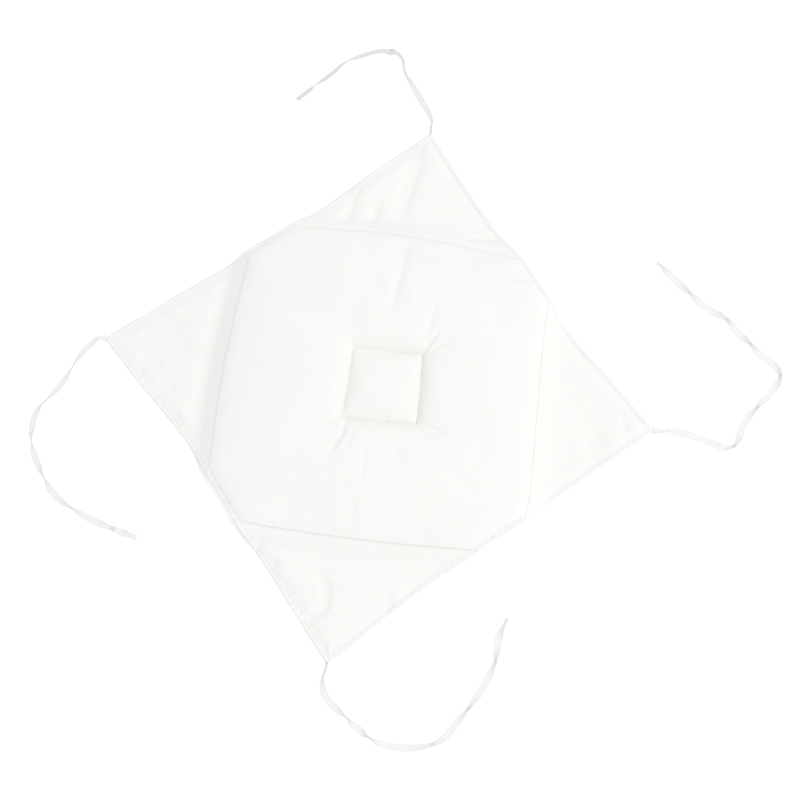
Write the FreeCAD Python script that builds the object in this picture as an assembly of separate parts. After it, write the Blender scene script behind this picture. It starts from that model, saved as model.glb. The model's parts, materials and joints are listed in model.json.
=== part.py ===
"""Face cradle cushion: a square two-ply cotton cover with a padded octagon in the middle, four
unpadded corner flaps that fold along stitched seams, and a tape tie at each corner.

Millimetres, +Z up. The origin is the centre of the cover on the surface that it lies on. X and Y
run along the sides of the square. U runs from the front left corner to the back right one, and V
from the front right corner to the back left one.
"""
import FreeCAD, Part
import math
import os
from FreeCAD import Vector

# Driving dimensions
SIDE = 450.0                # finished side of the square cover
SEAM_DISTANCE = 178.0       # centre to each diagonal seam
PLY = 0.8                   # one ply of cover cloth, with its crumple
PAD_HEIGHT = 30.0           # crown of the padded octagon
SEAM_HEIGHT = 15.0          # where the top and bottom plies meet round the pad
HEM_WIDTH = 5.0             # edge of the cover to the topstitching
QUILT_HALF = 42.0           # half the side of the quilted square in the middle
QUILT_FLAT = 1.5            # half the width of the pinched strip that the quilting runs on
PINCH = 1.8                 # pinched strip's surface above or below the seam height
THREAD = 0.3                # height of a stitch above the cloth
THREAD_WIDTH = 0.5
SEAM_THREAD = 0.8           # diameter of the double thread on each diagonal seam
PAD_GAP = 1.6               # hinge line to the pad's edge
FLAP_GAP = 0.8              # hinge line to the flap's root
FLAP_DRAPE = 28.0           # hinge line to where the flap reaches the surface
TIP_CUT = 6.0               # how far the corner is cut back for the tie
WADDING_GAP = 0.2           # wadding clear of the cloth all over
TIE_WIDTH = 8.0             # width of the tape, and the diameter of the tube that stands for it

HALF = SIDE / 2
ROOT2 = math.sqrt(2.0)
CORNER = HALF * ROOT2       # centre to each corner

# Shoulders of the pad, from its edge up to its crown and down to its base:
# distance in from the seams, distance in from the sides of the square, and height
TOP_SHOULDERS = [(7.0, 11.0, 21.0), (20.0, 24.0, 25.5), (44.0, 46.0, PAD_HEIGHT)]
BASE_SHOULDERS = [(7.0, 11.0, 8.0), (22.0, 25.0, 0.0)]
SEAM_EDGE = 0.6             # flat strip between a seam and the rise of the pad

# Quilted square: half widths and heights of the dip round it and of the puff inside it
TOP_DIP = [(45.0, 22.5), (66.0, PAD_HEIGHT)]
BASE_DIP = [(45.0, 8.0), (62.0, 0.0)]
TOP_PUFF = [(39.0, 21.5), (24.0, 24.0)]
BASE_PUFF = [(39.0, 9.0), (24.0, 7.0)]

# Each corner: its name, and the signs of X and Y there
CORNERS = [("back_right", 1, 1), ("back_left", -1, 1), ("front_left", -1, -1), ("front_right", 1, -1)]

# Routes of the ties after they leave their corners, each a fixed length of limp tape lying loose
TIE_ROUTES = {
    "back_right": [
        (229, 229), (241, 233), (246, 246), (248, 268), (251, 292), (252, 308), (262, 324),
        (259, 338), (246, 350), (226, 356), (201, 362), (178, 357), (150, 356), (126, 353),
    ],
    "back_left": [
        (-229, 229), (-244, 233), (-262, 228), (-284, 216), (-312, 205), (-338, 201), (-356, 183),
        (-368, 158), (-372, 130), (-374, 102), (-364, 76), (-352, 52), (-338, 30), (-323, 9),
    ],
    "front_left": [
        (-231, -231), (-244, -242), (-250, -258), (-245, -280), (-240, -304), (-233, -328),
        (-214, -349), (-190, -364), (-170, -369), (-146, -361), (-118, -354), (-94, -344),
        (-73, -332), (-58, -313), (-37, -302),
    ],
    "front_right": [
        (229, -229), (242, -235), (256, -250), (270, -271), (283, -292), (297, -291), (314, -277),
        (337, -271), (364, -267), (386, -259), (389, -242), (382, -219), (379, -192), (378, -168),
        (367, -142), (361, -116), (359, -90), (353, -65),
    ],
}


# Shapes made of flat faces

def face(points):
    return Part.Face(Part.makePolygon(list(points) + [points[0]]))


def stacked(loops):
    """Solid whose sides join loops of the same number of points, from the lowest loop up."""
    faces = [face(loops[0]), face(loops[-1])]
    for low, high in zip(loops, loops[1:]):
        for i in range(len(low)):
            j = (i + 1) % len(low)
            faces.append(face([low[i], low[j], high[j], high[i]]))
    solid = Part.Solid(Part.Shell(faces))
    if solid.Volume < 0:
        solid.reverse()
    return solid


def octagon(from_seams, from_sides, z):
    """Outline of the pad, drawn in by one distance at its seams and another at its short sides."""
    far = HALF - from_sides
    near = ROOT2 * (SEAM_DISTANCE - from_seams) - far
    return [Vector(x, y, z) for x, y in (
        (far, -near), (far, near), (near, far), (-near, far),
        (-far, near), (-far, -near), (-near, -far), (near, -far))]


def diamond(half, z):
    """Square with its sides along the seams."""
    reach = half * ROOT2
    return [Vector(x, y, z) for x, y in ((reach, 0), (0, reach), (-reach, 0), (0, -reach))]


# The pad

def half_pad(side, inset):
    """One half of the pad, above (side 1) or below (side -1) the seam height.

    inset moves its whole surface inwards, so that one half less another is a ply of cloth.
    """
    shoulders = TOP_SHOULDERS if side > 0 else BASE_SHOULDERS
    dips = TOP_DIP if side > 0 else BASE_DIP
    puffs = TOP_PUFF if side > 0 else BASE_PUFF
    hem_z = SEAM_HEIGHT + side * PLY
    strip = SEAM_HEIGHT + side * (PINCH - inset)
    if inset == 0:
        loops = [octagon(PAD_GAP, 0, SEAM_HEIGHT), octagon(PAD_GAP, 0, hem_z),
                 octagon(PAD_GAP + SEAM_EDGE, HEM_WIDTH + SEAM_EDGE, hem_z)]
    else:
        margin = inset + SEAM_EDGE
        loops = [octagon(PAD_GAP + margin, HEM_WIDTH + margin, SEAM_HEIGHT)]
    loops += [octagon(seam + inset, edge + inset, z - side * inset) for seam, edge, z in shoulders]
    body = stacked(loops[::side])

    top = shoulders[-1][2] + side
    dip = [diamond(QUILT_HALF + QUILT_FLAT + inset, strip)]
    dip += [diamond(half + inset, z - side * inset) for half, z in dips]
    dip.append(diamond(dips[-1][0] + inset, top))
    puff = [diamond(QUILT_HALF - QUILT_FLAT - inset, strip)]
    puff += [diamond(half - inset, z - side * inset) for half, z in puffs]
    return body.cut(stacked(dip[::side]).cut(stacked(puff[::side])))


def panel(side):
    return half_pad(side, 0).cut(half_pad(side, PLY))


def wadding():
    inset = PLY + WADDING_GAP
    return half_pad(1, inset).fuse(half_pad(-1, inset)).removeSplitter()


def quilting_stitch():
    """Lockstitch round the quilted square: a line of thread above the cloth and one below it."""
    lines = []
    for side in (1, -1):
        start = SEAM_HEIGHT + side * PINCH
        heights = sorted((start, start + side * THREAD))
        outer = [diamond(QUILT_HALF + THREAD_WIDTH / 2, z) for z in heights]
        inner = [diamond(QUILT_HALF - THREAD_WIDTH / 2, z) for z in heights]
        lines.append(stacked(outer).cut(stacked(inner)))
    return Part.makeCompound(lines)


def hem_stitch_of_pad():
    """Topstitching on the hem at the pad's four short sides."""
    reach = ROOT2 * (SEAM_DISTANCE - PAD_GAP) - HALF
    low = SEAM_HEIGHT + PLY
    offset = HALF - HEM_WIDTH
    lines = []
    for quarter in range(4):
        corner = Vector(offset - THREAD_WIDTH / 2, -reach, low)
        line = Part.makeBox(THREAD_WIDTH, 2 * reach, THREAD, corner)
        line.rotate(Vector(0, 0, 0), Vector(0, 0, 1), 90 * quarter)
        lines.append(line)
    return Part.makeCompound(lines)


# The flaps

def in_seam_frame(u, v, z):
    """Point from its distances along the diagonals."""
    return Vector((u - v) / ROOT2, (u + v) / ROOT2, z)


def at_corner(shape, turns):
    """Copy of a shape made at the back right corner, turned to another corner."""
    copy = shape.copy()
    copy.rotate(Vector(0, 0, 0), Vector(0, 0, 1), 90 * turns)
    return copy


def draped_layer(low, high):
    """Layer of cloth over the back right corner, between two heights above its middle line.

    Its middle line leaves the seam, drops to the surface and runs flat to the tip of the corner.
    """
    route = [(SEAM_DISTANCE + FLAP_GAP, SEAM_HEIGHT), (SEAM_DISTANCE + FLAP_DRAPE, PLY),
             (CORNER - TIP_CUT, PLY)]
    outline = [(u, z + low) for u, z in route] + [(u, z + high) for u, z in reversed(route)]
    return stacked([[in_seam_frame(u, v, z) for u, z in outline] for v in (-CORNER, CORNER)])


def flap_ply(low, high):
    whole_cover = Part.makeBox(SIDE, SIDE, PAD_HEIGHT, Vector(-HALF, -HALF, -1))
    return draped_layer(low, high).common(whole_cover)


def flap_stitch():
    """Topstitching on the two free sides of a flap."""
    thread = draped_layer(PLY, PLY + THREAD)
    offset = HALF - HEM_WIDTH
    half = THREAD_WIDTH / 2
    along_x = Part.makeBox(HALF, THREAD_WIDTH, PAD_HEIGHT, Vector(offset + half - HALF, offset - half, -1))
    along_y = Part.makeBox(THREAD_WIDTH, HALF, PAD_HEIGHT, Vector(offset - half, offset + half - HALF, -1))
    return thread.common(along_x.fuse(along_y))


def seam_stitch():
    """Stitching along a diagonal seam: a round thread on the hinge line, held to the pad's edge."""
    reach = CORNER - SEAM_DISTANCE - HEM_WIDTH / 2
    half = THREAD / 2
    section = [(-PAD_GAP, -half), (0, -half), (0, half), (-PAD_GAP, half)]
    loops = []
    for v in (-reach, reach):
        loops.append([in_seam_frame(SEAM_DISTANCE + u, v, SEAM_HEIGHT + z) for u, z in section])
    start, end = (in_seam_frame(SEAM_DISTANCE, v, SEAM_HEIGHT) for v in (-reach, reach))
    thread = Part.makeCylinder(SEAM_THREAD / 2, 2 * reach, start, end - start)
    return stacked(loops).fuse(thread)


# The ties

def tie(name, x_sign, y_sign):
    """Tube along a tie's route: straight runs joined by arcs as large as the runs allow."""
    z = TIE_WIDTH / 2
    start = (CORNER - TIP_CUT) / ROOT2
    points = [Vector(x_sign * start, y_sign * start, z)]
    points += [Vector(x, y, z) for x, y in TIE_ROUTES[name]]
    edges = []
    radii = []
    here = points[0]
    for before, point, after in zip(points, points[1:], points[2:]):
        back = before - point
        ahead = after - point
        turn = math.pi - back.getAngle(ahead)
        cut = 0.45 * min(back.Length, ahead.Length)
        radius = cut / math.tan(turn / 2)
        back.normalize()
        ahead.normalize()
        arc_start = point + back * cut
        arc_end = point + ahead * cut
        inward = back + ahead
        inward.normalize()
        arc_middle = point + inward * (radius / math.cos(turn / 2) - radius)
        edges.append(Part.LineSegment(here, arc_start).toShape())
        edges.append(Part.Arc(arc_start, arc_middle, arc_end).toShape())
        radii.append(radius)
        here = arc_end
    edges.append(Part.LineSegment(here, points[-1]).toShape())
    path = Part.Wire(edges)
    ring = Part.Wire(Part.makeCircle(TIE_WIDTH / 2, points[0], points[1] - points[0]))
    tube = path.makePipeShell([ring], True, False)
    section = math.pi * (TIE_WIDTH / 2) ** 2
    print(f"tie_{name}: length {path.Length:.0f}, volume over section x length",
          f"{tube.Volume / (section * path.Length):.4f}, radii {[round(r) for r in radii]}")
    return tube


def main():
    nodes = {
        "top_panel": panel(1),
        "bottom_panel": panel(-1),
        "wadding": wadding(),
        "quilting_stitch": quilting_stitch(),
        "hem_stitch_pad": hem_stitch_of_pad(),
    }
    top_ply = flap_ply(0, PLY)
    bottom_ply = flap_ply(-PLY, 0)
    hem_stitch = flap_stitch()
    seam = seam_stitch()
    for turns, (name, x_sign, y_sign) in enumerate(CORNERS):
        nodes["seam_stitch_" + name] = at_corner(seam, turns)
        nodes["flap_top_" + name] = at_corner(top_ply, turns)
        nodes["flap_bottom_" + name] = at_corner(bottom_ply, turns)
        nodes["hem_stitch_" + name] = at_corner(hem_stitch, turns)
        nodes["tie_" + name] = tie(name, x_sign, y_sign)

    os.makedirs("parts", exist_ok=True)
    for name, shape in nodes.items():
        box = shape.BoundBox
        print(f"{name}: {len(shape.Solids)} solids, valid {shape.isValid()}, volume {shape.Volume:.0f},",
              f"z {box.ZMin:.1f} to {box.ZMax:.1f}")
        shape.exportStep(f"parts/{name}.step")


main()
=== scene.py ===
"""Looks of the face cradle cushion: its cloth, stitching and tape ties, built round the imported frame.

Metres, in the frame's own axes. U and V are distances along the square's diagonals, so that the
diagonal seams are lines of constant U or V.
"""
import json
import math

import bpy
import numpy as np
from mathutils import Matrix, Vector


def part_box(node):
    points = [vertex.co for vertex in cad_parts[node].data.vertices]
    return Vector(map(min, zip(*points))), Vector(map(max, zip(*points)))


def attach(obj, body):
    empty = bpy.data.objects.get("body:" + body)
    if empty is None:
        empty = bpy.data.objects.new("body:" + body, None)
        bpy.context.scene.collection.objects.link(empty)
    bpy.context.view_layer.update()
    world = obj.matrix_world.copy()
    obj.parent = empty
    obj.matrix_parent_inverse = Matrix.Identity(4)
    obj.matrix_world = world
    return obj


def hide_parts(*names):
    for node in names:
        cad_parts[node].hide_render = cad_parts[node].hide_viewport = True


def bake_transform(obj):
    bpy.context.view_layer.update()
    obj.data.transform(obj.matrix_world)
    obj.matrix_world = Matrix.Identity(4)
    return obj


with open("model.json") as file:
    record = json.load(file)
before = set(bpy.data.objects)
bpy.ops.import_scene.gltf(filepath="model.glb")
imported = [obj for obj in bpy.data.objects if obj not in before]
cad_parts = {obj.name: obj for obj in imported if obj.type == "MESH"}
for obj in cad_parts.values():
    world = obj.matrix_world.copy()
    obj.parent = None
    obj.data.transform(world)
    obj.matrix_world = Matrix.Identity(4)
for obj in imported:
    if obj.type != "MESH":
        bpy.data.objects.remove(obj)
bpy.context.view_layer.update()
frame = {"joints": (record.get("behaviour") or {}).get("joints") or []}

# ---------------- sizes from the frame

MM = 0.001
ROOT2 = math.sqrt(2.0)
HINGE = Vector(frame["joints"][0]["pos_m"])
SEAM = HINGE.xy.length                          # centre to each diagonal seam
SEAM_Z = HINGE.z                                # height of the seams round the pad
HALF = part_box("top_panel")[1].x                 # centre to each side of the cover
CORNER = HALF * ROOT2                           # centre to each corner
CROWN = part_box("top_panel")[1].z                # highest point of the pad
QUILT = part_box("quilting_stitch")[1].x / ROOT2  # centre to each side of the quilted square
QUILT_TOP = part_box("quilting_stitch")[1].z
QUILT_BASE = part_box("quilting_stitch")[0].z
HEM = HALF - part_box("hem_stitch_pad")[1].x      # side of the cover to its topstitching
CLOTH = 0.45 * MM                               # thickness of one ply

CORNERS = {"back_right": (1, 1), "back_left": (-1, 1), "front_left": (-1, -1), "front_right": (1, -1)}


# ---------------- camera, light and floor

CAMERA_AZIMUTH = -35.0
CAMERA_ELEVATION = 74.1
CAMERA_DISTANCE = 1.787
CAMERA_TARGET = Vector((10.2, -28.0, 0.0)) * MM
CAMERA_LENS = 70.0
KEY_AZIMUTH = 43.0


def direction(azimuth, elevation):
    """Unit vector from the object towards a place, azimuth 0 being the front."""
    a, e = math.radians(azimuth), math.radians(elevation)
    return Vector((math.sin(a) * math.cos(e), -math.cos(a) * math.cos(e), math.sin(e)))


def add_object(name, data):
    made = bpy.data.objects.new(name, data)
    bpy.context.scene.collection.objects.link(made)
    return made


def aim(thing, target, azimuth, elevation, distance):
    """Put a camera or light at a distance from its target, facing it."""
    back = direction(azimuth, elevation)
    thing.location = target + back * distance
    thing.rotation_euler = (-back).to_track_quat("-Z", "Y").to_euler()


def add_camera():
    data = bpy.data.cameras.new("camera")
    data.lens = CAMERA_LENS
    camera = add_object("camera", data)
    aim(camera, CAMERA_TARGET, CAMERA_AZIMUTH, CAMERA_ELEVATION, CAMERA_DISTANCE)
    bpy.context.scene.camera = camera


def add_light(name, azimuth, elevation, distance, size, power):
    data = bpy.data.lights.new(name, "AREA")
    data.shape = "SQUARE"
    data.size = size
    data.energy = power
    aim(add_object(name, data), Vector(), azimuth, elevation, distance)


def add_studio():
    world = bpy.data.worlds.new("studio")
    bpy.context.scene.world = world
    world.use_nodes = True
    background = world.node_tree.nodes["Background"]
    background.inputs["Color"].default_value = (1.0, 1.0, 1.0, 1.0)
    background.inputs["Strength"].default_value = 0.82
    add_light("key", azimuth=KEY_AZIMUTH, elevation=63.0, distance=6.0, size=3.0, power=112.0)
    bpy.context.scene.view_settings.view_transform = "Standard"


def add_square(name, reach):
    """A flat square on the ground, its sides a distance from the origin."""
    mesh = bpy.data.meshes.new(name)
    mesh.from_pydata([(-reach, -reach, 0), (reach, -reach, 0), (reach, reach, 0), (-reach, reach, 0)],
                     [], [(0, 1, 2, 3)])
    return add_object(name, mesh)


def new_material(name):
    """A material with nodes, and its shader."""
    material = bpy.data.materials.new(name)
    material.use_nodes = True
    return material, material.node_tree.nodes["Principled BSDF"]


def add_floor():
    floor = add_square("floor", 6.0)
    material, shader = new_material("floor_white")
    shader.inputs["Base Color"].default_value = (0.9, 0.9, 0.9, 1.0)
    shader.inputs["Roughness"].default_value = 0.9
    shader.inputs["Emission Color"].default_value = (1.0, 1.0, 1.0, 1.0)
    shader.inputs["Emission Strength"].default_value = 0.2
    floor.data.materials.append(material)


# ---------------- materials

class Nodes:
    """Short way to add linked shader nodes to a material."""

    def __init__(self, material):
        self.tree = material.node_tree

    def add(self, kind, settings=None, **inputs):
        node = self.tree.nodes.new(kind)
        for key, value in (settings or {}).items():
            setattr(node, key, value)
        for key, value in inputs.items():
            socket = node.inputs[int(key[1:])] if key[0] == "i" and key[1:].isdigit() else node.inputs[key]
            if isinstance(value, bpy.types.NodeSocket):
                self.tree.links.new(value, socket)
            else:
                socket.default_value = value
        return node

    def math(self, operation, a, b=0.0):
        return self.add("ShaderNodeMath", {"operation": operation}, i0=a, i1=b).outputs[0]

    def noise(self, place, scale, detail, **inputs):
        return self.add("ShaderNodeTexNoise", Vector=place, Scale=scale, Detail=detail, **inputs).outputs[0]

    def spread(self, value, low, high, to_low, to_high):
        """A value's range stretched to another one, and held inside it."""
        ends = {"From Min": low, "From Max": high, "To Min": to_low, "To Max": to_high}
        return self.add("ShaderNodeMapRange", Value=value, **ends).outputs[0]

    def surface(self, shader, colour, shade, bump):
        """A colour scaled by a shade, and a bump, put into a shader."""
        tint = self.add("ShaderNodeVectorMath", {"operation": "SCALE"}, i0=colour, Scale=shade)
        self.tree.links.new(tint.outputs[0], shader.inputs["Base Color"])
        self.tree.links.new(bump.outputs[0], shader.inputs["Normal"])


def weave_height(nodes, across, along, threads):
    """Plain weave: two sets of rounded threads that pass over and under each other."""
    turns = 2 * math.pi * threads / 2
    first = nodes.math("SINE", nodes.math("MULTIPLY", across, turns))
    second = nodes.math("SINE", nodes.math("MULTIPLY", along, turns))
    over = nodes.math("MULTIPLY", first, second)
    ribs = nodes.math("ADD", nodes.math("ABSOLUTE", first), nodes.math("ABSOLUTE", second))
    return nodes.math("ADD", nodes.math("MULTIPLY", over, 0.5), nodes.math("MULTIPLY", ribs, 0.25))


def cloth_material(name, colour, threads, from_uv=False, slubs=1.0):
    """White cotton: a woven bump, slubs in the yarn, faint mottling, painted shade in the weave's hollows,
    and a soft sheen.

    A tape's weave follows its uv map, and its colour is darkened by painted shade where its mesh's darker
    attribute says so.
    """
    material, shader = new_material(name)
    nodes = Nodes(material)
    place = nodes.add("ShaderNodeTexCoord").outputs["UV" if from_uv else "Object"]
    axes = nodes.add("ShaderNodeSeparateXYZ", i0=place)
    weave = weave_height(nodes, axes.outputs[0], axes.outputs[1], threads)

    stretched = [nodes.add("ShaderNodeMapping", Vector=place, Scale=scale).outputs[0]
                 for scale in ((60.0, 2600.0, 60.0), (2600.0, 60.0, 60.0))]
    yarn = nodes.math("ADD", *[nodes.noise(yarn_place, 1.0, 1.0) for yarn_place in stretched])
    height = nodes.math("ADD", weave, nodes.math("MULTIPLY", yarn, slubs))
    bump = nodes.add("ShaderNodeBump", Strength=0.35, Distance=0.12 * MM, Height=height)
    rumple = nodes.noise(place, 150.0, 3.0, Roughness=0.55)
    soft = nodes.add("ShaderNodeBump", Strength=0.22, Distance=0.7 * MM, Height=rumple,
                     Normal=bump.outputs[0])

    tone = nodes.spread(nodes.noise(place, 22.0, 4.0, Roughness=0.6), 0.3, 0.7, 0.985, 1.0)
    # Painted shade: the colour is darker where the weave and yarn sit low, in the hollows between threads
    shade = nodes.math("MULTIPLY", tone, nodes.spread(height, 0.2, 1.7, 0.965, 1.0))
    if from_uv:
        # Painted shade: the tape's darker attribute darkens its colour at folds and along the back right
        # tape
        darker = nodes.add("ShaderNodeAttribute", {"attribute_name": "darker"}).outputs["Fac"]
        shade = nodes.math("MULTIPLY", shade, nodes.math("SUBTRACT", 1.0, darker))
    nodes.surface(shader, colour, shade, soft)
    nodes.tree.links.new(nodes.spread(yarn, 0.0, 1.0, 0.82, 0.94), shader.inputs["Roughness"])
    shader.inputs["Sheen Weight"].default_value = 0.15
    shader.inputs["Sheen Roughness"].default_value = 0.6
    shader.inputs["Specular IOR Level"].default_value = 0.2
    return material


def fibre_material(name, colour, grain, depth, roughness, sheen):
    """Loose or spun fibres: two sizes of noise in the bump, and painted shade that makes the colour a
    little darker where the bump is low.
    """
    material, shader = new_material(name)
    nodes = Nodes(material)
    place = nodes.add("ShaderNodeTexCoord").outputs["Object"]
    fibres = nodes.math("MULTIPLY", nodes.noise(place, grain, 5.0, Distortion=1.5), 0.5)
    height = nodes.math("ADD", nodes.noise(place, grain / 6, 3.0), fibres)
    bump = nodes.add("ShaderNodeBump", Strength=0.5, Distance=depth, Height=height)
    # Painted shade: a little darker where the bump is low, in the hollows between fibres
    nodes.surface(shader, colour, nodes.spread(height, 0.5, 1.0, 0.93, 1.0), bump)
    shader.inputs["Roughness"].default_value = roughness
    shader.inputs["Sheen Weight"].default_value = sheen
    shader.inputs["Specular IOR Level"].default_value = 0.25
    return material


# ---------------- the ties

# Each route repeats the one in part.py, in millimetres: from the corner, along the surface
TIE_ROUTES = {
    "back_right": [
        (229, 229), (241, 233), (246, 246), (248, 268), (251, 292), (252, 308), (262, 324),
        (259, 338), (246, 350), (226, 356), (201, 362), (178, 357), (150, 356), (126, 353),
    ],
    "back_left": [
        (-229, 229), (-244, 233), (-262, 228), (-284, 216), (-312, 205), (-338, 201), (-356, 183),
        (-368, 158), (-372, 130), (-374, 102), (-364, 76), (-352, 52), (-338, 30), (-323, 9),
    ],
    "front_left": [
        (-231, -231), (-244, -242), (-250, -258), (-245, -280), (-240, -304), (-233, -328),
        (-214, -349), (-190, -364), (-170, -369), (-146, -361), (-118, -354), (-94, -344),
        (-73, -332), (-58, -313), (-37, -302),
    ],
    "front_right": [
        (229, -229), (242, -235), (256, -250), (270, -271), (283, -292), (297, -291), (314, -277),
        (337, -271), (364, -267), (386, -259), (389, -242), (382, -219), (379, -192), (378, -168),
        (367, -142), (361, -116), (359, -90), (353, -65),
    ],
}
# Stretches of each tie, in millimetres from its corner, where it stands on its edge as it turns over
TIE_TWISTS = {
    "back_right": [(2, 22), (98, 134), (191, 191), (243, 243)],
    "back_left": [(0, 6), (60, 63), (112, 112), (164, 164), (208, 208), (257, 257), (311, 311), (330, 336)],
    "front_left": [(2, 24), (81, 81), (111, 111), (182, 182), (238, 238), (298, 298), (338, 345)],
    "front_right": [
        (0, 26), (100, 100), (156, 156), (204, 204), (256, 256), (294, 294), (348, 348), (394, 400),
    ],
}
TAPE_WIDTH = 8 * MM
TAPE_THICKNESS = 0.7 * MM
TAPE_STEP = 1.2 * MM            # distance between rings of its mesh
TAPE_GAP = 0.2 * MM             # room under it
TIP_CUT = 6.0 * MM              # how far each corner is cut back for its tie
TAPE_CURL = 0.7 * MM            # how far the tape's selvedges stand up from its middle
# How far each tape tips where it lies flattest, and how far it tips where it turns over, in degrees.
# It stands up less where its raised edge is at the front left, and more where that edge is behind.
TAPE_LEANS = {"back_right": 32, "back_left": 13, "front_left": 6, "front_right": 4}
TAPE_TIP = 71
TAPE_TIP_LESS = 15
LESS_TIP_AZIMUTH = -35.0        # the front left
TURNING_LENGTH = 10 * MM        # least length over which a tape turns onto its edge
PAINTED_FOLD_SHADE = 0.15               # painted shade: how much darker a tape's colour is made where it turns over, standing in for shade in the fold
FOLD_SHADE_REACH = 4.5 * MM         # how far along the tape the painted fold shade reaches
LONG_TWIST = 10                 # stretches longer than this, in millimetres, get less painted fold shade
LONG_TWIST_SHADE_SHARE = 0.35
FREE_END = 14                   # length in millimetres of the free end, which gets no painted fold shade
PAINTED_SHADE_FROM = {"back_right": 126}   # distance in millimetres from which a tape's colour is darkened: painted shade for its tipped, shaded face
PAINTED_SHADE_AMOUNT = 0.13                   # how much painted shade
PAINTED_SHADE_RAMP = 8 * MM
FRAY_LENGTH = 4 * MM
FRAYED = 0.12                   # how much wider the tape's free end is
CORNER_REACH = 30 * MM          # how far along it a tape's route follows its corner as it settles


def smooth(t):
    t = np.clip(t, 0.0, 1.0)
    return t * t * (3 - 2 * t)


def spline_points(name, points):
    """Points read from one smooth spline whose control points are the route."""
    curve = bpy.data.curves.new(name + "_route", "CURVE")
    curve.dimensions = "3D"
    spline = curve.splines.new("NURBS")
    spline.points.add(len(points) - 1)
    for point, place in zip(spline.points, points):
        point.co = (*place, 1.0)
    spline.order_u = 3
    spline.use_endpoint_u = True
    spline.resolution_u = 16
    holder = add_object(name + "_route", curve)
    depsgraph = bpy.context.evaluated_depsgraph_get()
    line = bpy.data.meshes.new_from_object(holder.evaluated_get(depsgraph))
    found = np.array([v.co[:] for v in line.vertices])
    bpy.data.objects.remove(holder)
    bpy.data.meshes.remove(line)
    return found


def distances(points):
    """How far along a line each of its points is."""
    return np.concatenate([[0.0], np.cumsum(np.linalg.norm(np.diff(points, axis=0), axis=1))])


def places_along(points, travel, wanted):
    """Points of a line at the wanted distances along it."""
    return np.stack([np.interp(wanted, travel, points[:, axis]) for axis in range(3)], axis=1)


def even_points(points, spacing):
    """The same line with its points evenly spaced, and the distance of each along it."""
    travel = distances(points)
    distance = np.linspace(0.0, travel[-1], int(round(travel[-1] / spacing)) + 1)
    return places_along(points, travel, distance), distance


def unit_rows(rows):
    return rows / np.linalg.norm(rows, axis=1)[:, None]


def mesh_object(name, points, faces, material):
    mesh = bpy.data.meshes.new(name)
    mesh.from_pydata([tuple(p) for p in points], [], faces)
    mesh.validate()
    mesh.materials.append(material)
    mesh.polygons.foreach_set("use_smooth", [True] * len(mesh.polygons))
    return add_object(name, mesh)


# Half of the tape's section, in half widths and half thicknesses: thin selvedges, flat middle
TAPE_FACE = [(-1.0, -0.3), (-0.9, -0.9), (-0.45, -1.0), (0.0, -1.0), (0.45, -1.0), (0.9, -0.9), (1.0, -0.3)]
TAPE_SECTION = TAPE_FACE + [(-w, -t) for w, t in TAPE_FACE]


def tape_roll(distance, twists, lean, sideways):
    """Angle of the tape about its own line: on its edge at the twists, and tipped by its lean between them.
    Also a share of painted shade at each twist, which darkens its colour to stand in for shade in the fold.

    The edge that stands up is the one towards the light, so that the tape's upper face is shaded.
    A stretch that starts at 0 is sewn flat into its corner, and a free end lies loose, so neither gets
    painted fold shade.
    """
    tip = np.zeros(len(distance))
    painted_fold_share = np.zeros(len(distance))
    for index, (first, last) in enumerate(twists):
        before = twists[index - 1][1] if index > 0 else first
        after = twists[index + 1][0] if index + 1 < len(twists) else distance[-1] / MM
        gap = np.where(distance < first * MM, first - before, after - last) * MM
        away = np.maximum(first * MM - distance, distance - last * MM)
        tip += smooth(1 - away / np.maximum(gap / 2, TURNING_LENGTH))
        # Painted fold shade: a share of it at this twist, less on a long stretch
        if 0 < first and last < distance[-1] / MM - FREE_END:
            fold_shade_share = LONG_TWIST_SHADE_SHARE if last - first > LONG_TWIST else 1.0
            painted_fold_share += fold_shade_share * smooth(1 - away / FOLD_SHADE_REACH)
    facing = [sideways[:, 0] * way.x + sideways[:, 1] * way.y
              for way in (direction(KEY_AZIMUTH, 0.0), direction(LESS_TIP_AZIMUTH, 0.0))]
    towards = np.tanh(5 * facing[0])
    tallest = TAPE_TIP - TAPE_TIP_LESS * towards * facing[1]
    return towards * np.radians(lean + (tallest - lean) * np.clip(tip, 0.0, 1.0) ** 2), painted_fold_share


def tube_faces(count, sides):
    """Faces of a closed tube from its rings, one after another."""
    faces = []
    for first in range(0, (count - 1) * sides, sides):
        for side in range(sides):
            a, b = first + side, first + (side + 1) % sides
            faces.append((a, b, b + sides, a + sides))
    return faces + [tuple(range(sides))[::-1], tuple(range((count - 1) * sides, count * sides))]


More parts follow.
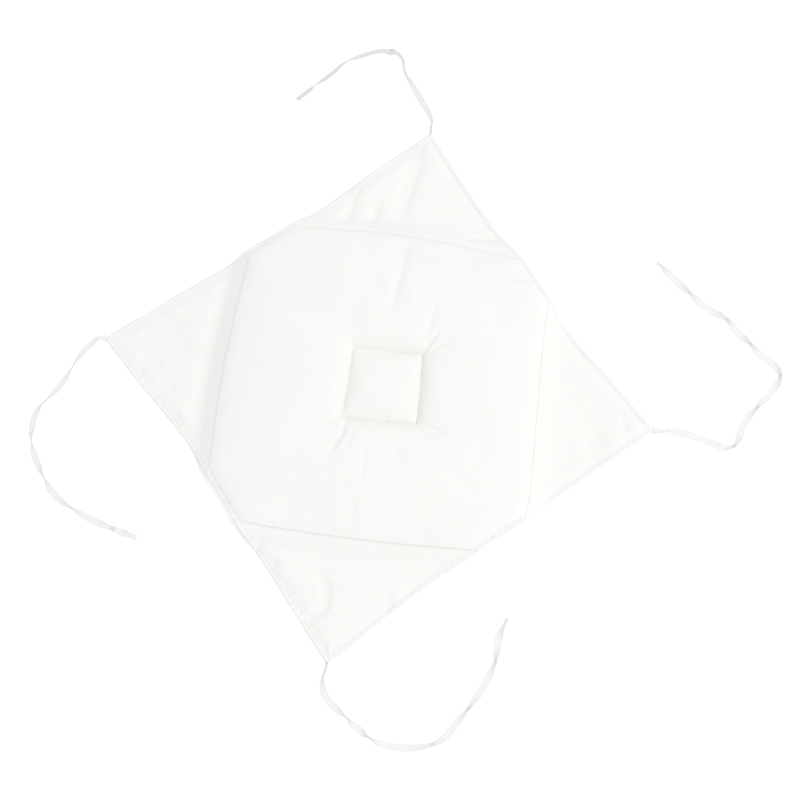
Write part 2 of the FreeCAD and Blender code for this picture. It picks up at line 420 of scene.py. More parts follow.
def add_tie(name, x_sign, y_sign, material):
    start = (CORNER - TIP_CUT) / ROOT2
    route = [(x_sign * start, y_sign * start, 0.0)]
    route += [(x * MM, y * MM, 0.0) for x, y in TIE_ROUTES[name]]
    line, distance = even_points(spline_points(name, route), TAPE_STEP)

    corner = line[:1] * (CORNER / (CORNER - TIP_CUT))
    moved = (settled(corner) - corner)[0]
    line[:, :2] += moved[:2] * (1 - smooth(distance / CORNER_REACH))[:, None]
    sideways = unit_rows(np.cross(np.array([0.0, 0.0, 1.0]), np.gradient(line, axis=0)))
    roll, painted_fold_share = tape_roll(distance, TIE_TWISTS[name], TAPE_LEANS[name], sideways)
    line[:, 2] = TAPE_WIDTH / 2 * np.abs(np.sin(roll)) + TAPE_THICKNESS / 2 + TAPE_CURL / 2 + TAPE_GAP

    ahead = unit_rows(np.gradient(line, axis=0))
    upward = np.cross(ahead, sideways)
    across = sideways * np.cos(roll)[:, None] + upward * np.sin(roll)[:, None]
    through = np.cross(ahead, across)
    width = TAPE_WIDTH / 2 * (1 + FRAYED * smooth((distance - distance[-1] + FRAY_LENGTH) / FRAY_LENGTH))
    curl = TAPE_CURL * np.abs(np.cos(roll)) * np.sign(through[:, 2])
    rings = [line + across * (width * w)[:, None]
             + through * (TAPE_THICKNESS / 2 * t + curl * (w * w - 0.5))[:, None] for w, t in TAPE_SECTION]
    rings = np.stack(rings, axis=1)
    count, sides = rings.shape[:2]
    tie = mesh_object("tie_tape_" + name, rings.reshape(-1, 3), tube_faces(count, sides), material)
    layer = tie.data.uv_layers.new(name="tape")
    along = np.repeat(distance, sides)
    over = np.tile([w * TAPE_WIDTH / 2 for w, _ in TAPE_SECTION], count)
    for loop in tie.data.loops:
        layer.data[loop.index].uv = (over[loop.vertex_index], along[loop.vertex_index])
    # Painted shade in the tape's darker attribute: at its folds, and from a distance along the back right
    # tape
    darker = PAINTED_FOLD_SHADE * np.clip(painted_fold_share, 0.0, 1.0)
    # Painted shade: past a distance the back right tape's colour is darkened, standing in for shade on its
    # tipped face
    if name in PAINTED_SHADE_FROM:
        darker = np.maximum(darker, PAINTED_SHADE_AMOUNT * smooth((distance - PAINTED_SHADE_FROM[name] * MM) / PAINTED_SHADE_RAMP))
    tie.data.attributes.new("darker", "FLOAT", "POINT").data.foreach_set("value", np.repeat(darker, sides))
    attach(tie, "flap_" + name)
    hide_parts("tie_" + name)
    return tie


# ---------------- the cover's grid

# Grid lines follow the diagonals, and pass through the quilting, the seams and the hem's corners:
# each stretch of them ends at a distance from the centre, and has a number of cells
STRETCHES = [(QUILT, 9), (CORNER - SEAM, 21), (SEAM, 8), (CORNER - QUILT, 21), (CORNER, 9)]
BUNCHING = 0.55                 # how much closer together the lines are where stretches meet
FINENESS = 3                    # cells of the final cloth to one of the simulated cloth


class Grid:
    """Points of the flat cover, U along the first index and V along the second."""

    def __init__(self, fineness):
        positive = [0.0]
        for end, cells in STRETCHES:
            start = positive[-1]
            count = cells * fineness
            for k in range(1, count + 1):
                t = k / count
                share = t - BUNCHING * math.sin(2 * math.pi * t) / (2 * math.pi)
                positive.append(start + (end - start) * share)
        self.lines = np.array([-d for d in positive[:0:-1]] + positive)
        self.reach = len(positive) - 1
        self.quilt = STRETCHES[0][1] * fineness
        self.seam = sum(cells for _, cells in STRETCHES[:3]) * fineness
        steps = np.arange(-self.reach, self.reach + 1)
        self.i, self.j = np.meshgrid(steps, steps, indexing="ij")
        self.u, self.v = np.meshgrid(self.lines, self.lines, indexing="ij")
        self.cover = np.abs(self.i) + np.abs(self.j) <= self.reach
        self.pad = self.within(0)
        self.rim = self.pad & ~self.within(1)
        self.quilting = np.maximum(np.abs(self.i), np.abs(self.j)) == self.quilt
        self.flaps = {"back_right": self.cover & (self.i >= self.seam),
                      "back_left": self.cover & (self.j >= self.seam),
                      "front_left": self.cover & (self.i <= -self.seam),
                      "front_right": self.cover & (self.j <= -self.seam)}

    def within(self, cells):
        """The pad, less a number of cells all round."""
        widest = np.maximum(np.abs(self.i), np.abs(self.j)) <= self.seam - cells
        return widest & (np.abs(self.i) + np.abs(self.j) <= self.reach - cells)

    def across(self, name):
        """Distance out from the centre across a corner's seam, and distance along that seam."""
        return {"back_right": (self.u, self.v), "back_left": (self.v, self.u),
                "front_left": (-self.u, self.v), "front_right": (-self.v, self.u)}[name]


def grid_faces(mask, numbers):
    """Quads of a masked grid, with triangles where its outline cuts cells in half."""
    faces = []
    rows, columns = mask.shape
    for r in range(rows - 1):
        for c in range(columns - 1):
            kept = [int(numbers[k]) for k in ((r, c), (r + 1, c), (r + 1, c + 1), (r, c + 1)) if mask[k]]
            if len(kept) >= 3:
                faces.append(tuple(kept))
    return faces


def numbered(mask, first=0):
    numbers = np.full(mask.shape, -1)
    numbers[mask] = first + np.arange(mask.sum())
    return numbers


def from_diagonals(u, v):
    return (u - v) / ROOT2, (u + v) / ROOT2


# ---------------- the cover as it lies

WALL = 5.5 * MM                 # how far the pad's rounded edge rises above its seams
WALL_WIDTH = 14 * MM            # how far in from a seam or the hem that edge becomes the pad's top
QUILT_FALL = 7 * MM             # how fast the top falls to the quilting
CROWN_REACH = 50 * MM           # how slowly the top goes on rising to its crown
PUFF = 7.5 * MM                 # height of the quilted square above its quilting
BASE_WIDTH = 18 * MM            # how far in from a seam the pad's underside meets the surface
SEWN_EDGE = 0.5 * MM            # half the thickness of the cover where its plies are sewn together
# How far from its seam each flap reaches the surface
DRAPES = {"back_right": 42 * MM, "back_left": 33 * MM, "front_left": 48 * MM, "front_right": 46 * MM}
FLOOR_GAP = 0.35 * MM           # room under the cover for the thread of its stitches
ATTACHED_WIDTH = 7 * MM         # how far out from its seam a flap is held flat by it
SETTLING_START = 4 * MM         # how far out the simulated shift sets in, and over what width
SETTLING_WIDTH = 34 * MM
FLAP_REST = 1.3 * MM            # middle of a flap's two plies above the surface, at its hem
BILLOW = 3.2 * MM               # how much higher the loose cloth lies away from the hem
# Height of the little ridge beside each seam: below 0 it is a groove
LIPS = {"back_right": -0.7 * MM, "back_left": 0.0, "front_left": -0.7 * MM, "front_right": 0.3 * MM}
LIP_PLACE = 2.6 * MM
LIP_WIDTH = 1.5 * MM
BASE_LOWEST = 0.2 * MM          # least height of the pad's underside before it settles


def bulge(distance, width, power=1.8):
    """0 at an edge to 1 a width inside it, round like the edge of a cushion."""
    t = np.clip(distance / width, 0.0, 1.0)
    return (1 - (1 - t) ** power) ** (1 / power)


def settling(distance, scale):
    """0 at an edge, levelling off to 1 well inside it."""
    return 1 - np.exp(-np.maximum(distance, 0.0) / scale)


def inside_hem(u, v):
    """Distance in from the sides of the square."""
    return (CORNER - np.abs(u) - np.abs(v)) / ROOT2


def outside_quilt(u, v):
    return np.hypot(np.maximum(np.abs(u) - QUILT, 0.0), np.maximum(np.abs(v) - QUILT, 0.0))


def inside_quilt(u, v):
    return (np.abs(u) <= QUILT) & (np.abs(v) <= QUILT)


def sewn_down(distance):
    """0 on the quilting to 1 well away from it: steep beside the stitches, then gentler."""
    return 0.2 * settling(distance, 1.2 * MM) + 0.8 * settling(distance, QUILT_FALL)


def puffed(u, v):
    """0 on the quilting to 1 well inside the quilted square."""
    return sewn_down(QUILT - np.abs(u)) * sewn_down(QUILT - np.abs(v))


def inside_edges(u, v):
    """Distances in from the pad's seams and topstitching."""
    return SEAM - np.abs(u), SEAM - np.abs(v), inside_hem(u, v) - HEM


def pad_top(u, v):
    rise = CROWN - SEAM_Z - SEWN_EDGE - WALL
    wall = WALL
    for distance in inside_edges(u, v):
        wall = wall * bulge(distance, WALL_WIDTH)
        rise = rise * settling(distance, CROWN_REACH)
    plateau = SEAM_Z + SEWN_EDGE + wall + rise
    ring = QUILT_TOP + (plateau - QUILT_TOP) * sewn_down(outside_quilt(u, v))
    return np.where(inside_quilt(u, v), QUILT_TOP + PUFF * puffed(u, v), ring)


def pad_base(u, v):
    full = 1.0
    for distance in inside_edges(u, v):
        full = full * bulge(distance, BASE_WIDTH, 1.6)
    lifted = (SEAM_Z - SEWN_EDGE) * (1 - full)
    pinched = QUILT_BASE * (1 - sewn_down(outside_quilt(u, v)))
    base = np.where(inside_quilt(u, v), QUILT_BASE - PUFF * puffed(u, v), np.maximum(lifted, pinched))
    return np.maximum(base, BASE_LOWEST)


def flap_height(out, inside, name):
    """Middle of a flap's plies: a ridge or groove beside its seam, a slope, then loose on the surface."""
    t = np.clip(out / DRAPES[name], 0.0, 1.0)
    ridge = LIPS[name] * np.exp(-((out - LIP_PLACE) / LIP_WIDTH) ** 2)
    rest = FLAP_REST + BILLOW * smooth((inside - HEM) / (13 * MM)) * smooth((out - 14 * MM) / (26 * MM))
    return rest + (SEAM_Z - rest) * (1 - t) ** 1.8 + ridge


# ---------------- cloth simulation

SWELL_LIMIT = 3 * MM            # most that the pad's cloth may move from its drawn shape
DRAPE_LIMIT = 5 * MM            # most that a flap's may
SIMULATED_FRAMES = 20


def add_group(piece, name, weights):
    group = piece.vertex_groups.new(name=name)
    for index, weight in enumerate(weights):
        if weight > 0:
            group.add([index], float(weight), "REPLACE")


def simulate(name, points, faces, pins, gathered, slack, shrink, bending, pressure=0.0, gravity=0.0):
    """Positions of a piece of cloth after it has settled, from a Cloth run on a scratch object.

    slack is how much too big the cloth is, and shrink how much too small it is where gathered is 1.
    """
    mesh = bpy.data.meshes.new(name)
    mesh.from_pydata([tuple(p) for p in points], [], faces)
    piece = add_object(name, mesh)
    add_group(piece, "pins", pins)
    add_group(piece, "gathered", gathered)
    cloth = piece.modifiers.new("cloth", "CLOTH")
    settings = cloth.settings
    settings.quality = 6
    settings.mass = 0.3
    settings.vertex_group_mass = "pins"
    settings.tension_stiffness = 25
    settings.compression_stiffness = 25
    settings.shear_stiffness = 12
    settings.bending_stiffness = bending
    settings.air_damping = 2.0
    settings.vertex_group_shrink = "gathered"
    settings.shrink_min = -slack
    settings.shrink_max = shrink
    settings.effector_weights.gravity = gravity
    settings.use_pressure = pressure > 0
    settings.uniform_pressure_force = pressure
    cloth.collision_settings.use_collision = gravity > 0
    cloth.collision_settings.distance_min = 0.6 * MM
    cloth.point_cache.frame_start = 1
    cloth.point_cache.frame_end = SIMULATED_FRAMES
    scene = bpy.context.scene
    for number in range(1, SIMULATED_FRAMES + 1):
        scene.frame_set(number)
    settled_piece = piece.evaluated_get(bpy.context.evaluated_depsgraph_get())
    found = np.array([v.co[:] for v in settled_piece.data.vertices])
    bpy.data.objects.remove(piece)
    bpy.data.meshes.remove(mesh)
    scene.frame_set(1)
    return found


def capped(shift, limit):
    """Shift with its length held under a limit, smoothly."""
    length = np.linalg.norm(shift, axis=-1, keepdims=True)
    return shift * limit * np.tanh(length / limit) / np.maximum(length, 1e-9)


def swell_pad(grid):
    """How far the pad's two plies move when they are filled: one array of shifts for each."""
    x, y = from_diagonals(grid.u, grid.v)
    top = np.stack([x, y, pad_top(grid.u, grid.v)], axis=-1)
    base = np.stack([x, y, pad_base(grid.u, grid.v)], axis=-1)
    below = grid.pad & ~grid.rim
    top_numbers = numbered(grid.pad)
    base_numbers = np.where(grid.rim, top_numbers, numbered(below, grid.pad.sum()))
    points = np.concatenate([top[grid.pad], base[below]])
    faces = grid_faces(grid.pad, top_numbers)
    faces += [face[::-1] for face in grid_faces(grid.pad, base_numbers)]
    held = (grid.rim | grid.quilting).astype(float)
    pins = np.concatenate([held[grid.pad], held[below]])
    sewn = np.exp(-np.minimum(np.abs(SEAM - np.maximum(np.abs(grid.u), np.abs(grid.v))),
                              inside_hem(grid.u, grid.v)) / (6 * MM))
    gathered = np.concatenate([sewn[grid.pad], sewn[below]])
    found = simulate("pad_cloth", points, faces, pins, gathered, slack=0.008, shrink=0.01,
                     pressure=2.0, bending=3.0)
    shifts = capped(found - points, SWELL_LIMIT)
    top_shift = np.zeros_like(top)
    base_shift = np.zeros_like(base)
    top_shift[grid.pad] = shifts[:grid.pad.sum()]
    base_shift[below] = shifts[grid.pad.sum():]
    return top_shift, base_shift


def drape_flap(grid, name):
    """How far a flap's cloth moves as it settles on the surface."""
    mask = grid.flaps[name]
    x, y = from_diagonals(grid.u, grid.v)
    out = grid.across(name)[0] - SEAM
    points = np.stack([x, y, flap_height(out, inside_hem(grid.u, grid.v), name)], axis=-1)[mask]
    pins = grid.rim[mask].astype(float)
    gathered = np.exp(-inside_hem(grid.u, grid.v) / HEM)[mask]
    found = simulate("flap_cloth_" + name, points, grid_faces(mask, numbered(mask)), pins, gathered,
                     slack=0.004, shrink=0.012, gravity=1.0, bending=4.0)
    shift = np.zeros(grid.u.shape + (3,))
    shift[mask] = capped(found - points, DRAPE_LIMIT)
    return shift


def add_temporary_floor():
    piece = add_square("simulation_floor", HALF * 2)
    piece.modifiers.new("collision", "COLLISION")
    piece.collision.thickness_outer = 0.4 * MM
    return piece


def filled_out(values, mask):
    """Values of a masked grid carried a few cells past its outline, so that it can be refined."""
    values = values * mask[..., None]
    known = mask.copy()
    for _ in range(3):
        total = np.zeros_like(values)
        count = np.zeros(known.shape)
        for axis in (0, 1):
            for step in (1, -1):
                total += np.roll(values * known[..., None], step, axis)
                count += np.roll(known, step, axis)
        new = ~known & (count > 0)
        values[new] = total[new] / count[new][:, None]
        known |= new
    return values


def softened(values, passes=2):
    """Values with their grid-sized jitter averaged away."""
    for _ in range(passes):
        for axis in (0, 1):
            values = 0.5 * values + 0.25 * (np.roll(values, 1, axis) + np.roll(values, -1, axis))
    return values


def refined(values, factor):
    """Values on a grid with more cells, along a cubic through the old points."""
    for axis in (0, 1):
        values = np.moveaxis(values, axis, 0)
        padded = np.concatenate([values[:1], values, values[-1:]])
        before, here, after, beyond = padded[:-3], padded[1:-2], padded[2:-1], padded[3:]
        rows = []
        for k in range(factor):
            t = k / factor
            bend = 2 * before - 5 * here + 4 * after - beyond
            skew = 3 * (here - after) + beyond - before
            rows.append(here + 0.5 * t * (after - before + t * (bend + t * skew)))
        mixed = np.stack(rows, axis=1).reshape((-1,) + values.shape[1:])
        values = np.moveaxis(np.concatenate([mixed, values[-1:]]), 0, axis)
    return values


# ---------------- creases, puckers and settling

class Crease:
    """A fold along a line of points in millimetres: deep is down, and a negative depth is a ridge."""

    def __init__(self, points, depth, width, ridge):
        self.points = [np.array(p) * MM for p in points]
        self.depth = depth * MM
        self.width = width * MM
        self.ridge = ridge      # how much of the depth rises again beside the fold

    def height(self, x, y):
        best = np.full(x.shape, 1e9)
        along = np.zeros(x.shape)
        travelled = 0.0
        for a, b in zip(self.points, self.points[1:]):
            length = np.linalg.norm(b - a)
            d = (b - a) / length
            t = np.clip((x - a[0]) * d[0] + (y - a[1]) * d[1], 0.0, length)
            away = np.hypot(x - a[0] - t * d[0], y - a[1] - t * d[1])
            nearer = away < best
            best = np.where(nearer, away, best)
            along = np.where(nearer, travelled + t, along)
            travelled += length
        share = along / travelled
        taper = np.clip(4 * share * (1 - share), 0.0, 1.0) ** 0.6
        w = best / self.width
        return -self.depth * (0.15 + 0.85 * taper) * (1 - self.ridge * w * w) * np.exp(-w * w)


# Each row: a line of points, a depth and a width in millimetres, and the share of it that rises beside
PAD_CREASES = [Crease(*row) for row in [
    ([(124, 116), (94, 90), (56, 60)], 2.6, 7.0, 0.3),
    ([(104, 76), (74, 44)], -0.8, 6.0, 0.0),
    ([(109, 40), (93, 26), (76, 12)], 1.3, 6.0, 0.3),
    ([(59, 0), (72, 3), (90, 8)], 2.6, 3.0, 0.5),
    ([(60, -4), (78, -6), (98, -10)], 1.5, 3.0, 0.5),
    ([(60, -9), (75, -20)], 1.6, 3.0, 0.5),
    ([(-58, -6), (-72, -20), (-92, -30)], 2.8, 4.0, 0.5),
    ([(-58, -22), (-78, -38)], 1.4, 4.0, 0.5),
    ([(2, -60), (9, -76), (16, -93)], 2.2, 3.4, 0.5),
    ([(188, 14), (207, 7), (224, 0)], 1.6, 1.8, 0.5),
    ([(-32, -64), (-39, -90)], 1.0, 5.0, 0.4),
    ([(-62, -50), (-84, -80)], 1.0, 6.0, 0.4),
    ([(-10, -116), (-3, -140), (3, -172)], 1.2, 7.0, 0.4),
    ([(-110, 96), (-84, 74)], 0.8, 9.0, 0.3),
]]
FLAP_CREASES = {name: [Crease(*row) for row in rows] for name, rows in {
    "back_right": [
        ([(121, 224), (108, 210), (93, 194)], 3.2, 7.0, 0.2),
        ([(204, 216), (176, 190), (150, 168), (134, 146)], 4.0, 10.0, 0.2),
        ([(126, 183), (106, 168)], 3.0, 8.0, 0.2),
        ([(92, 203), (80, 186)], 2.2, 7.0, 0.2),
        ([(186, 144), (204, 126), (222, 108)], 2.8, 7.0, 0.2),
        ([(184, 88), (202, 78), (224, 64)], 3.2, 5.5, 0.3),
        ([(204, 90), (223, 84)], 2.0, 3.5, 0.4),
        ([(212, 168), (226, 146)], 2.2, 5.0, 0.3),
    ],
    "back_left": [
        ([(-176, 221), (-158, 204), (-142, 180)], 3.6, 8.0, 0.2),
        ([(-208, 206), (-184, 194), (-164, 180), (-150, 160)], 3.8, 8.0, 0.2),
        ([(-221, 178), (-200, 172), (-186, 160)], 3.4, 9.0, 0.2),
        ([(-222, 140), (-205, 138), (-192, 128)], 3.0, 8.0, 0.2),
        ([(-224, 106), (-208, 100)], 2.4, 6.0, 0.2),
        ([(-112, 220), (-98, 200)], 2.2, 6.0, 0.2),
    ],
    "front_left": [
        ([(-174, -132), (-178, -156), (-192, -170), (-214, -170)], 4.2, 6.5, 0.3),
        ([(-126, -204), (-139, -226)], 2.8, 4.0, 0.3),
        ([(-214, -200), (-226, -222)], 2.8, 5.0, 0.3),
        ([(-98, -208), (-106, -226)], 2.0, 5.0, 0.3),
        ([(-205, -92), (-224, -96)], 2.2, 5.0, 0.3),
        ([(-206, -60), (-224, -70)], 2.0, 5.0, 0.3),
    ],
    "front_right": [
        ([(166, -150), (158, -186), (146, -220)], 3.2, 14.0, 0.2),
        ([(204, -186), (188, -214)], 1.8, 8.0, 0.3),
        ([(223, -96), (206, -112)], 1.6, 6.0, 0.3),
    ],
}.items()}

# Where the cover has settled: places on the flat cover, and how far each has moved, in millimetres
SETTLED = {
    (225, 225): (10, 2), (-225, 225): (-6, 7), (-225, -225): (-6, -7), (225, -225): (5, -3),
    (32, 220): (-3, -6), (220, 32): (0, -3), (126, 126): (2, 3),
    (-32, 220): (-2, -4), (-220, 32): (5, -5), (-126, 126): (-1, 0), (-80, 222): (0, 1),
    (-220, -32): (1, -12), (-32, -220): (5, 1), (-126, -126): (-4, -5),
    (220, -32): (-4, -3), (32, -220): (15, -1), (126, -126): (4, -4),
    (0, 59): (0, -9), (59, 0): (0, -3), (0, -59): (6, -6), (-59, 0): (2, -10),
}
SETTLE_REACH = 85 * MM


def settle_weights():
    places = np.array(list(SETTLED.keys())) * MM
    shifts = np.array(list(SETTLED.values())) * MM
    apart = np.linalg.norm(places[:, None] - places[None], axis=-1)
    return places, np.linalg.solve(np.exp(-(apart / SETTLE_REACH) ** 2), shifts)


SETTLE_PLACES, SETTLE_WEIGHTS = settle_weights()


def settled(points):
    """Where points of the flat cover lie once the cover has been put down."""
    x, y = points[..., 0], points[..., 1]
    moved = points.copy()
    for (px, py), (wx, wy) in zip(SETTLE_PLACES, SETTLE_WEIGHTS):
        share = np.exp(-((x - px) ** 2 + (y - py) ** 2) / SETTLE_REACH ** 2)
        moved[..., 0] += wx * share
        moved[..., 1] += wy * share
    return moved


PUCKER_PITCH = 7.5 * MM
# How far from its line of stitching a pucker reaches
HEM_PUCKER_REACH = 4 * MM
PAD_PUCKER_REACH = 6 * MM
FLAP_PUCKER_REACH = 8 * MM
# Height of the puckers in millimetres
QUILT_PUCKER = 0.3
SIDE_PUCKER = {"right": 0.55, "back": 0.5, "left": 1.0, "front": 0.65}
SEAM_PUCKER = {"back_right": 0.25, "back_left": 0.2, "front_left": 0.25, "front_right": 0.22}


def uneven(distance, period, seed):
    """Wave along a line whose pitch and size wander, as puckers along stitching do."""
    phase = 2 * math.pi * distance / period + 1.7 * np.sin(distance / (31 * MM) + seed)
    phase += 0.9 * np.sin(distance / (13 * MM) + 2.1 * seed)
    size = 0.6 + 0.4 * np.sin(distance / (23 * MM) + 3.3 * seed) * np.sin(distance / (57 * MM) + seed)
    return np.sin(phase) * size


def line_puckers(away, along, reach, size, seed):
    """Small waves that run off a line of stitching."""
    return size * MM * np.exp(-np.abs(away) / reach) * uneven(along, PUCKER_PITCH, seed)


def hem_puckers(x, y, inside):
    """Small waves that run in from the hem's topstitching."""
    waves = np.zeros_like(x)
    sides = {"right": (x, y), "left": (-x, y), "back": (y, x), "front": (-y, x)}
    for seed, (side, (out, along)) in enumerate(sides.items()):
        here = out >= np.maximum(np.abs(x), np.abs(y)) - 1e-9
        own = line_puckers(inside - HEM, along, HEM_PUCKER_REACH, SIDE_PUCKER[side], seed + 0.7)
        waves = np.where(here, own, waves)
    return waves


def hem_relief(inside):
    """Turned-in cloth makes the hem thicker, and its topstitching pulls it down."""
    band = smooth(inside / (1.4 * MM)) * smooth((HEM + 1.5 * MM - inside) / (2.4 * MM))
    stitched = np.exp(-((inside - HEM) / (1.0 * MM)) ** 2)
    return (0.6 * band - 0.8 * stitched) * MM


class Cover:
    """The outer face of every ply of the cover on the fine grid, as arrays of points."""

    def __init__(self):
        self.grid = Grid(FINENESS)
        self.surfaces = {}
        coarse = Grid(1)
        pad_shifts = (0.0, 0.0)
        flap_shifts = dict.fromkeys(CORNERS, 0.0)
        pad_shifts = [self.spread(shift, coarse.pad) for shift in swell_pad(coarse)]
        floor = add_temporary_floor()
        for name in CORNERS:
            flap_shifts[name] = self.spread(drape_flap(coarse, name), coarse.flaps[name])
        bpy.data.objects.remove(floor)
        self.add_pad(*pad_shifts)
        for name in CORNERS:
            self.add_flap(name, flap_shifts[name])

    def spread(self, shift, mask):
        return refined(softened(filled_out(shift, mask)), FINENESS)

    def flat(self, height):
        x, y = from_diagonals(self.grid.u, self.grid.v)
        return np.stack([x, y, height], axis=-1)

    def add_pad(self, top_shift, base_shift):
        grid = self.grid
        fixed = grid.rim | grid.quilting
        top = self.flat(pad_top(grid.u, grid.v)) + top_shift * ~fixed[..., None]
        base = self.flat(pad_base(grid.u, grid.v)) + base_shift * ~fixed[..., None]
        x, y = top[..., 0], top[..., 1]
        inside = inside_hem(grid.u, grid.v)
        relief = hem_relief(inside) + hem_puckers(x, y, inside)
        for seed, name in enumerate(CORNERS):
            out, along = grid.across(name)
            relief += line_puckers(SEAM - out, along, PAD_PUCKER_REACH, SEAM_PUCKER[name], seed)
        ring = np.maximum(np.abs(grid.u), np.abs(grid.v)) - QUILT
        around = np.where(np.abs(grid.u) > np.abs(grid.v), grid.v, grid.u)
        relief += line_puckers(ring, around, PAD_PUCKER_REACH, QUILT_PUCKER, 5.5)
        for crease in PAD_CREASES:
            relief += crease.height(x, y) * smooth(np.abs(ring) / (3 * MM))
        top[..., 2] += relief * ~fixed
        base[..., 2] = np.maximum(base[..., 2], FLOOR_GAP)
        top[..., 2] = np.maximum(top[..., 2], base[..., 2] + 2 * CLOTH)
        self.surfaces["top_panel"] = settled(top)
        self.surfaces["bottom_panel"] = settled(base)

    def add_flap(self, name, shift):
        grid = self.grid
        out, along = grid.across(name)
        out = out - SEAM
        attached = smooth(out / ATTACHED_WIDTH)
        settling_in = smooth((out - SETTLING_START) / SETTLING_WIDTH)
        inside = inside_hem(grid.u, grid.v)
        middle = self.flat(flap_height(out, inside, name)) + shift * settling_in[..., None]
        x, y = middle[..., 0], middle[..., 1]
        waves = hem_puckers(x, y, inside)
        waves += line_puckers(out, along, FLAP_PUCKER_REACH, SEAM_PUCKER[name], len(name))
        for crease in FLAP_CREASES[name]:
            waves += crease.height(x, y)
        middle[..., 2] += waves * attached
        thick = SEWN_EDGE + hem_relief(inside) * 0.9 * attached
        middle[..., 2] += np.maximum(thick + FLOOR_GAP - middle[..., 2], 0.0)
        for side, node in ((1, "flap_top_"), (-1, "flap_bottom_")):
            ply = middle.copy()
            ply[..., 2] += side * thick
            self.surfaces[node + name] = settled(ply)

    def mask(self, node):
        for name, flap in self.grid.flaps.items():
            if node.endswith(name):
                return flap
        return self.grid.pad

    def at(self, node, u, v):
        """Points of a ply's outer face at distances along the diagonals."""
        lines, surface = self.grid.lines, self.surfaces[node]
        a = np.interp(u, lines, np.arange(len(lines)))
        b = np.interp(v, lines, np.arange(len(lines)))
        i = np.minimum(a.astype(int), len(lines) - 2)
        j = np.minimum(b.astype(int), len(lines) - 2)
        s, t = (a - i)[:, None], (b - j)[:, None]
        near = surface[i, j] * (1 - s) + surface[i + 1, j] * s
        far = surface[i, j + 1] * (1 - s) + surface[i + 1, j + 1] * s
        return near * (1 - t) + far * t


# ---------------- pieces of the cover

FILLING_INSET = CLOTH + 0.5 * MM        # how far the filling stays inside the plies' outer faces
FILLING_LEAST = 0.8 * MM                # its least thickness


def apply_modifiers(piece):
    depsgraph = bpy.context.evaluated_depsgraph_get()
    mesh = bpy.data.meshes.new_from_object(piece.evaluated_get(depsgraph))
    old = piece.data
    piece.modifiers.clear()
    piece.data = mesh
    bpy.data.meshes.remove(old)


def add_ply(cover, node, material):
    """One ply of cloth as a thin closed piece, its other face towards the filling."""
    mask = cover.mask(node)
    faces = grid_faces(mask, numbered(mask))
    if "bottom" in node:
        faces = [face[::-1] for face in faces]
    ply = mesh_object("cloth_" + node, cover.surfaces[node][mask], faces, material)
    solid = ply.modifiers.new("thickness", "SOLIDIFY")
    solid.thickness = CLOTH
    solid.offset = -1.0
    apply_modifiers(ply)
    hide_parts(node)
    return ply


def join_to_flap(piece):
    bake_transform(piece)


def add_cover(cover, material):
    for node in ("top_panel", "bottom_panel"):
        ply = add_ply(cover, node, material)
        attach(ply, "cushion")
    for name in CORNERS:
        bottom = add_ply(cover, "flap_bottom_" + name, material)
        top = add_ply(cover, "flap_top_" + name, material)
        for ply, rests_on in ((bottom, ["cloth_bottom_panel"]), (top, [bottom])):
            join_to_flap(ply)


def add_wadding(cover, material):
    """Filling of the pad, a little inside its two plies, and thin where the quilting pinches it."""
    mask = cover.grid.within(FINENESS)
    top = cover.surfaces["top_panel"][mask] - np.array([0, 0, FILLING_INSET])
    base = cover.surfaces["bottom_panel"][mask] + np.array([0, 0, FILLING_INSET])
    middle = (top[:, 2] + base[:, 2]) / 2
    top[:, 2] = np.maximum(top[:, 2], middle + FILLING_LEAST / 2)
    base[:, 2] = np.minimum(base[:, 2], middle - FILLING_LEAST / 2)
    over, under = numbered(mask), numbered(mask, mask.sum())
    faces = grid_faces(mask, over)
    edges = {(a, b) for face in faces for a, b in zip(face, face[1:] + face[:1])}
    outline = [(a, b) for a, b in edges if (b, a) not in edges]
    faces += [face[::-1] for face in grid_faces(mask, under)]
    faces += [(b, a, a + int(mask.sum()), b + int(mask.sum())) for a, b in sorted(outline)]
    piece = mesh_object("filling", np.concatenate([top, base]), faces, material)
    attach(piece, "cushion")
    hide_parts("wadding")


# ---------------- stitching

STITCH_PITCH = 2.7 * MM
STITCH_LENGTH = 2.1 * MM
THREAD_RADIUS = 0.22 * MM
STITCH_STEP = 0.3 * MM          # how far to each side a stitch's direction is taken
ROW_STEP = 0.5 * MM             # distance between the points of a row's route
# Shape of one stitch: places along it, and its height and thickness there in thread radii
STITCH_RINGS = [(0.0, -0.9, 0.5), (0.12, -0.1, 0.95), (0.35, 0.45, 1.0), (0.65, 0.45, 1.0),
                (0.88, -0.1, 0.95), (1.0, -0.9, 0.5)]
THREAD_SIDES = 6


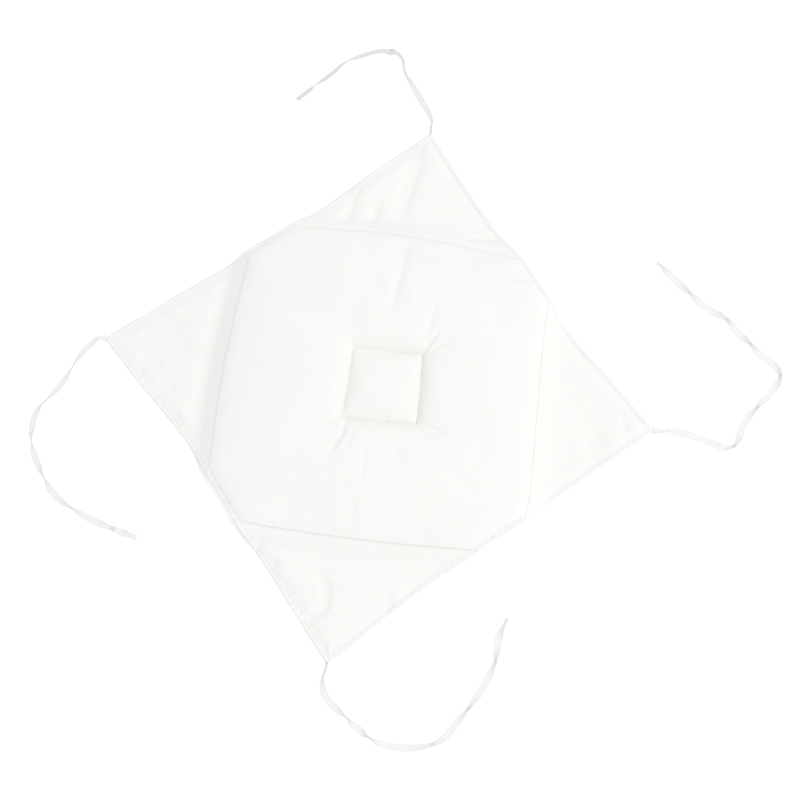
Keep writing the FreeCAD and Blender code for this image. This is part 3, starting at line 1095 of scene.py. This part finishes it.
def stitches(cover, node, start, end, facing):
    """Vertices and faces of a row of stitches on a ply, from one place to another along the diagonals."""
    share = np.linspace(0.0, 1.0, int(np.linalg.norm(np.subtract(end, start)) / ROW_STEP))
    u = start[0] + (end[0] - start[0]) * share
    v = start[1] + (end[1] - start[1]) * share
    route = cover.at(node, u, v)
    travel = distances(route)
    made = int((travel[-1] - STITCH_LENGTH) / STITCH_PITCH) + 1
    first = np.arange(made) * STITCH_PITCH
    rings = []
    for place, height, thickness in STITCH_RINGS:
        here = first + place * STITCH_LENGTH
        centre = places_along(route, travel, here)
        later = places_along(route, travel, here + STITCH_STEP)
        ahead = unit_rows(later - places_along(route, travel, here - STITCH_STEP))
        sideways = unit_rows(np.cross(np.array([0.0, 0.0, facing]), ahead))
        upward = np.cross(ahead, sideways)
        centre = centre + upward * (height * THREAD_RADIUS)
        for k in range(THREAD_SIDES):
            angle = 2 * math.pi * k / THREAD_SIDES
            turned = sideways * math.cos(angle) + upward * math.sin(angle)
            rings.append(centre + turned * (THREAD_RADIUS * thickness))
    pattern = tube_faces(len(STITCH_RINGS), THREAD_SIDES)
    starts = range(0, made * len(rings), len(rings))
    faces = [tuple(index + start for index in face) for start in starts for face in pattern]
    return np.stack(rings, axis=1).reshape(-1, 3), faces


def sew(cover, name, stands_for, lines, material):
    """One piece of thread from rows of stitches, each (ply, start, end) with places along the diagonals."""
    points, faces = [], []
    for node, start, end in lines:
        facing = -1.0 if "bottom" in node else 1.0
        row_points, row_faces = stitches(cover, node, start, end, facing)
        first = sum(len(p) for p in points)
        points.append(row_points)
        faces += [tuple(first + index for index in face) for face in row_faces]
    thread = mesh_object(name, np.concatenate(points), faces, material)
    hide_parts(stands_for)
    return thread


def add_stitching(cover, material):
    square = [(QUILT, -QUILT), (QUILT, QUILT), (-QUILT, QUILT), (-QUILT, -QUILT)]
    quilting = [(node, a, b) for node in ("top_panel", "bottom_panel")
                for a, b in zip(square, square[1:] + square[:1])]
    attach(sew(cover, "thread_quilting", "quilting_stitch", quilting, material), "cushion")

    hem = CORNER - HEM * ROOT2          # where the topstitching meets a diagonal
    reach = SEAM - 1 * MM
    sides = [(node, (a * reach, b * (hem - reach)), (a * (hem - reach), b * reach))
             for node in ("top_panel", "bottom_panel") for a, b in CORNERS.values()]
    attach(sew(cover, "thread_hem_pad", "hem_stitch_pad", sides, material), "cushion")

    root = SEAM + 1 * MM
    for name, (x_sign, y_sign) in CORNERS.items():
        out = np.array([x_sign + y_sign, y_sign - x_sign]) / 2
        along = np.array([-out[1], out[0]])
        tip = out * (hem - TIP_CUT)
        ends = [out * root + along * side * (hem - root) for side in (1, -1)]
        lines = [(ply + name, end, tip + along * side * TIP_CUT) for ply in ("flap_top_", "flap_bottom_")
                 for side, end in zip((1, -1), ends)]
        join_to_flap(sew(cover, "thread_hem_" + name, "hem_stitch_" + name, lines, material))
        half = CORNER - SEAM - HEM
        lines = [(ply, out * SEAM - along * half, out * SEAM + along * half)
                 for ply in ("top_panel", "bottom_panel")]
        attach(sew(cover, "thread_seam_" + name, "seam_stitch_" + name, lines, material), "cushion")


add_camera()
add_studio()
add_floor()
tape_cotton = cloth_material("tape_cotton", (0.89, 0.885, 0.87), threads=2200.0, from_uv=True, slubs=0.4)
cover_cotton = cloth_material("cover_cotton", (0.90, 0.894, 0.878), threads=2000.0)
thread_cotton = fibre_material("thread_cotton", (0.87, 0.87, 0.855), grain=4000.0, depth=0.05 * MM,
                               roughness=0.6, sheen=0.2)
polyester_filling = fibre_material("polyester_filling", (0.85, 0.85, 0.84), grain=700.0, depth=0.8 * MM,
                                   roughness=0.9, sheen=0.4)

for corner, signs in CORNERS.items():
    add_tie(corner, *signs, tape_cotton)
cover = Cover()
add_cover(cover, cover_cotton)
add_wadding(cover, polyester_filling)
add_stitching(cover, thread_cotton)
